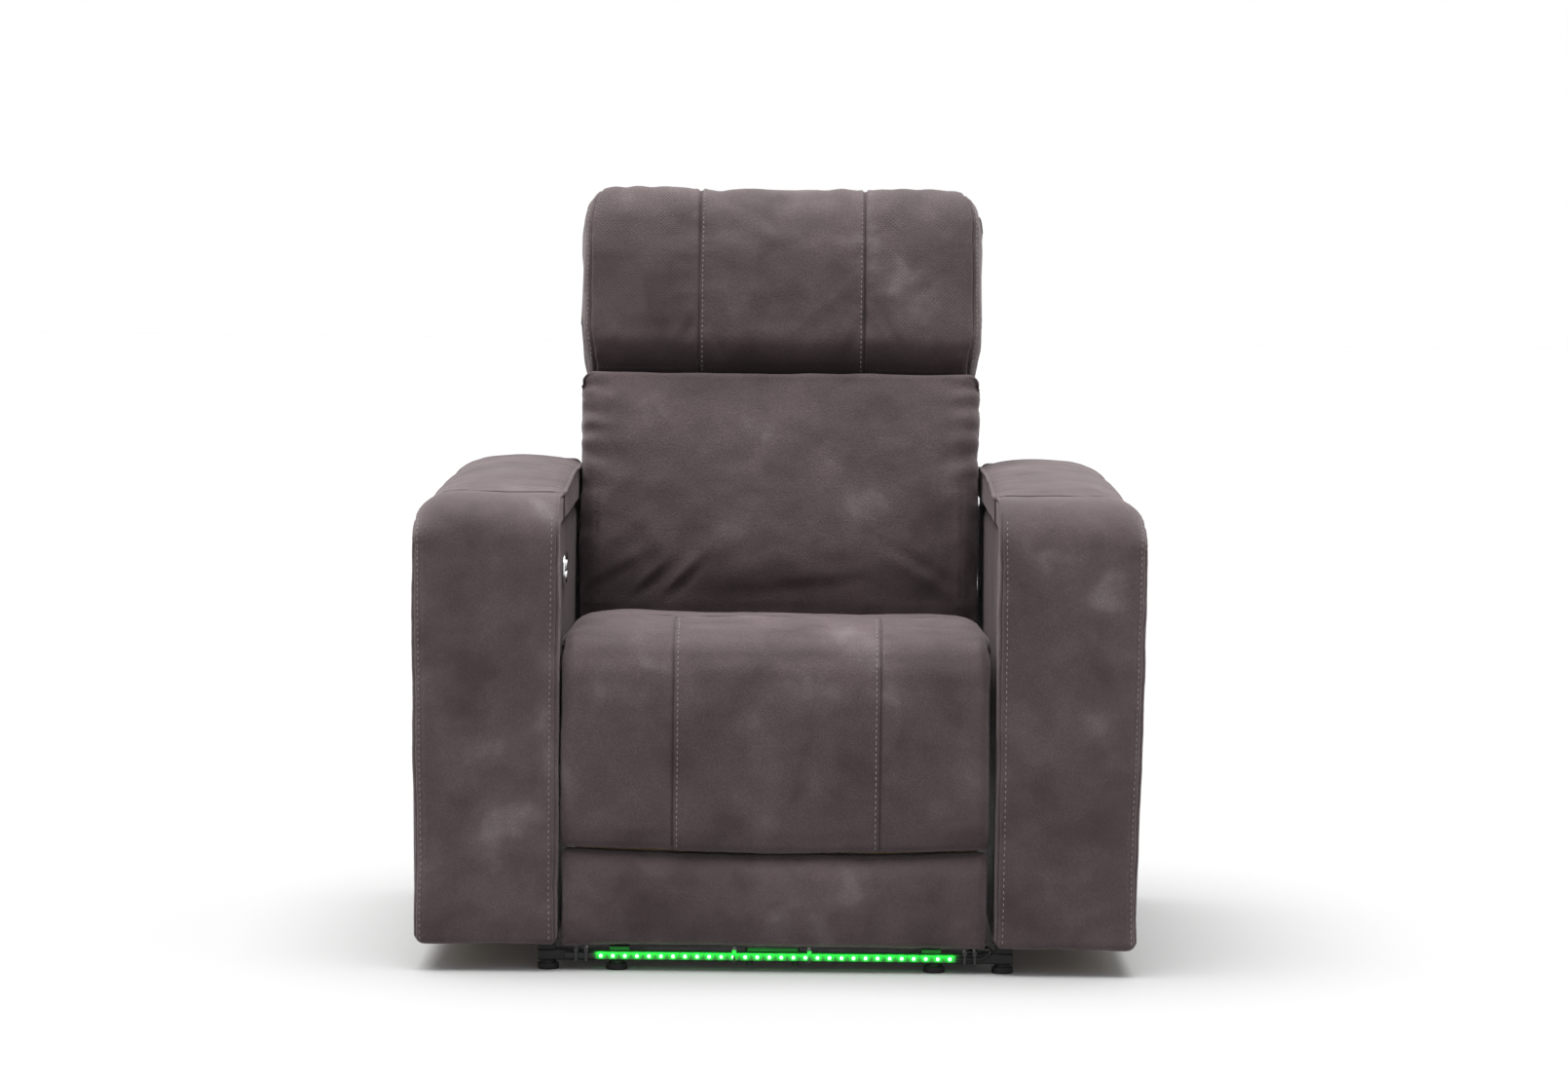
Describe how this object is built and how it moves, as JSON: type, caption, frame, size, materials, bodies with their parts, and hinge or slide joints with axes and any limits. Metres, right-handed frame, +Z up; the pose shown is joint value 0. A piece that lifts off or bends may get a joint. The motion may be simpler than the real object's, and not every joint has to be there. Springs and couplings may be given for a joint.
{
  "type": "cinema recliner seat",
  "caption": "Upholstered power recliner armchair with storage arms, tilting headrest, folding footrest, wall-clearing carriage and a light strip under the front edge.",
  "frame": {"origin": "on the floor, under the middle of the chair's bounding box", "axes": "+Z up, the sitter looks along -Y, +X is the sitter's left"},
  "size_m": [1.01, 0.9502, 1.088],
  "materials": {
    "upholstery": "matte",
    "black_steel": "satin",
    "zinc_steel": "satin",
    "spring_steel": "satin",
    "plywood": "matte",
    "black_plastic": "matte",
    "cable_black": "satin",
    "chrome_trim": "polished",
    "led_tape": "satin",
    "led_green": "gloss"
  },
  "bodies": {
    "base": {"front_cross_tube": "black_steel", "rear_cross_tube": "black_steel", "base_rails": "black_steel", "glide_feet": "black_plastic", "pivot_uprights": "black_steel", "frame_brackets": "black_steel", "led_strip": "led_tape", "led_chips": "led_green", "cable_ties": "black_plastic", "led_lead": "cable_black", "power_supply": "black_plastic", "arm_frames": "plywood", "storage_bins": "black_plastic", "arm_front_pads": "upholstery", "arm_outer_pads": "upholstery", "arm_inner_pads": "upholstery", "arm_rear_pads": "upholstery", "lid_hinges": "zinc_steel", "control_bezel": "chrome_trim", "control_box": "black_plastic"},
    "lid_left": {"lid_board_left": "plywood", "lid_pad_left": "upholstery", "lid_leaf_left": "zinc_steel"},
    "lid_right": {"lid_board_right": "plywood", "lid_pad_right": "upholstery", "lid_leaf_right": "zinc_steel"},
    "button_1": {"button_1": "chrome_trim"},
    "button_2": {"button_2": "chrome_trim"},
    "button_3": {"button_3": "chrome_trim"},
    "button_4": {"button_4": "chrome_trim"},
    "front_link": {"carriage_links_front": "black_steel"},
    "rear_link": {"carriage_links_rear": "black_steel"},
    "seat": {"seat_side_plates": "black_steel", "seat_pivots": "zinc_steel", "seat_cross_tubes": "black_steel", "seat_box": "plywood", "seat_springs": "spring_steel", "seat_cushion": "upholstery", "footrest_actuator": "black_plastic", "recline_actuator": "black_plastic"},
    "footrest": {"footrest_board": "plywood", "chaise_pad": "upholstery", "foot_pad": "upholstery", "footrest_brackets": "black_steel"},
    "footrest_drive": {"drive_tube": "black_steel"},
    "inner_link": {"inner_links": "black_steel"},
    "outer_crank": {"outer_cranks": "black_steel"},
    "outer_link": {"outer_links": "black_steel"},
    "footrest_nut": {"footrest_slider": "black_plastic"},
    "recline_nut": {"recline_slider": "black_plastic"},
    "back": {"back_frame": "black_steel", "lumbar_cushion": "upholstery", "back_panel": "upholstery", "back_side_pads": "upholstery", "headrest_actuator": "black_plastic"},
    "headrest": {"headrest_board": "plywood", "headrest_pad": "upholstery", "headrest_rear_pad": "upholstery"},
    "headrest_nut": {"headrest_slider": "black_plastic"}
  },
  "joints": [
    {"name": "lid_left_hinge", "type": "hinge", "parent": "base", "child": "lid_left", "pos_m": [-0.5, 0, 0.62], "axis": [0, -1, 0], "range_deg": [0, 85]},
    {"name": "lid_right_hinge", "type": "hinge", "parent": "base", "child": "lid_right", "pos_m": [0.5, 0, 0.62], "axis": [0, 1, 0], "range_deg": [0, 85]},
    {"name": "button_1_press", "type": "slide", "parent": "base", "child": "button_1", "axis": [-1, 0, 0], "range_m": [0, 0.0015], "stiffness_N_per_m": 400},
    {"name": "button_2_press", "type": "slide", "parent": "base", "child": "button_2", "axis": [-1, 0, 0], "range_m": [0, 0.0015], "stiffness_N_per_m": 400},
    {"name": "button_3_press", "type": "slide", "parent": "base", "child": "button_3", "axis": [-1, 0, 0], "range_m": [0, 0.0015], "stiffness_N_per_m": 400},
    {"name": "button_4_press", "type": "slide", "parent": "base", "child": "button_4", "axis": [-1, 0, 0], "range_m": [0, 0.0015], "stiffness_N_per_m": 400},
    {"name": "recline", "type": "hinge", "parent": "seat", "child": "back", "pos_m": [0, 0.125, 0.3], "axis": [-1, 0, 0], "range_deg": [0, 35]},
    {"name": "carriage_rear", "type": "hinge", "parent": "base", "child": "rear_link", "pos_m": [0, 0.025, 0.1], "axis": [1, 0, 0], "range_deg": [0, 60.01]},
    {"name": "seat_level", "type": "hinge", "parent": "rear_link", "child": "seat", "pos_m": [0, 0.08, 0.218], "axis": [1, 0, 0], "range_deg": [-60.01, 0]},
    {"name": "carriage_front", "type": "hinge", "parent": "base", "child": "front_link", "pos_m": [0, -0.275, 0.1], "axis": [1, 0, 0], "range_deg": [0, 60.01]},
    {"name": "recline_push", "type": "slide", "parent": "seat", "child": "recline_nut", "axis": [0, -1, 0], "range_m": [0, 0.0485]},
    {"name": "footrest_fold", "type": "hinge", "parent": "seat", "child": "footrest", "pos_m": [0, -0.43, 0.45], "axis": [-1, 0, 0], "range_deg": [0, 88]},
    {"name": "footrest_drive_turn", "type": "hinge", "parent": "seat", "child": "footrest_drive", "pos_m": [0, -0.361, 0.29], "axis": [-1, 0, 0], "range_deg": [0, 88]},
    {"name": "inner_knee", "type": "hinge", "parent": "footrest_drive", "child": "inner_link", "pos_m": [0, -0.314, 0.067], "axis": [-1, 0, 0], "range_deg": [-88, 0]},
    {"name": "outer_crank_turn", "type": "hinge", "parent": "seat", "child": "outer_crank", "pos_m": [0, -0.28, 0.25], "axis": [-1, 0, 0], "range_deg": [0, 88]},
    {"name": "outer_knee", "type": "hinge", "parent": "outer_crank", "child": "outer_link", "pos_m": [0, -0.233, 0.069], "axis": [-1, 0, 0], "range_deg": [-88, 0]},
    {"name": "footrest_push", "type": "slide", "parent": "seat", "child": "footrest_nut", "axis": [0, -1, 0], "range_m": [0, 0.086]},
    {"name": "headrest_tilt", "type": "hinge", "parent": "back", "child": "headrest", "pos_m": [0, 0.24814, 0.84383], "axis": [1, 0, 0], "range_deg": [0, 40]},
    {"name": "headrest_push", "type": "slide", "parent": "back", "child": "headrest_nut", "axis": [0, 0.2588, 0.9659], "range_m": [0, 0.0345]}
  ],
  "couplings": [
    {"joint": "carriage_rear", "follows": "recline", "ratio": 1.7143},
    {"joint": "seat_level", "follows": "recline", "ratio": -1.7143},
    {"joint": "carriage_front", "follows": "recline", "ratio": 1.7143},
    {"joint": "recline_push", "follows": "recline", "m_per_rad": 0.0792},
    {"joint": "footrest_drive_turn", "follows": "footrest_fold", "ratio": 1},
    {"joint": "inner_knee", "follows": "footrest_fold", "ratio": -1},
    {"joint": "outer_crank_turn", "follows": "footrest_fold", "ratio": 1},
    {"joint": "outer_knee", "follows": "footrest_fold", "ratio": -1},
    {"joint": "footrest_push", "follows": "footrest_fold", "m_per_rad": 0.0558},
    {"joint": "headrest_push", "follows": "headrest_tilt", "m_per_rad": 0.04925}
  ]
}
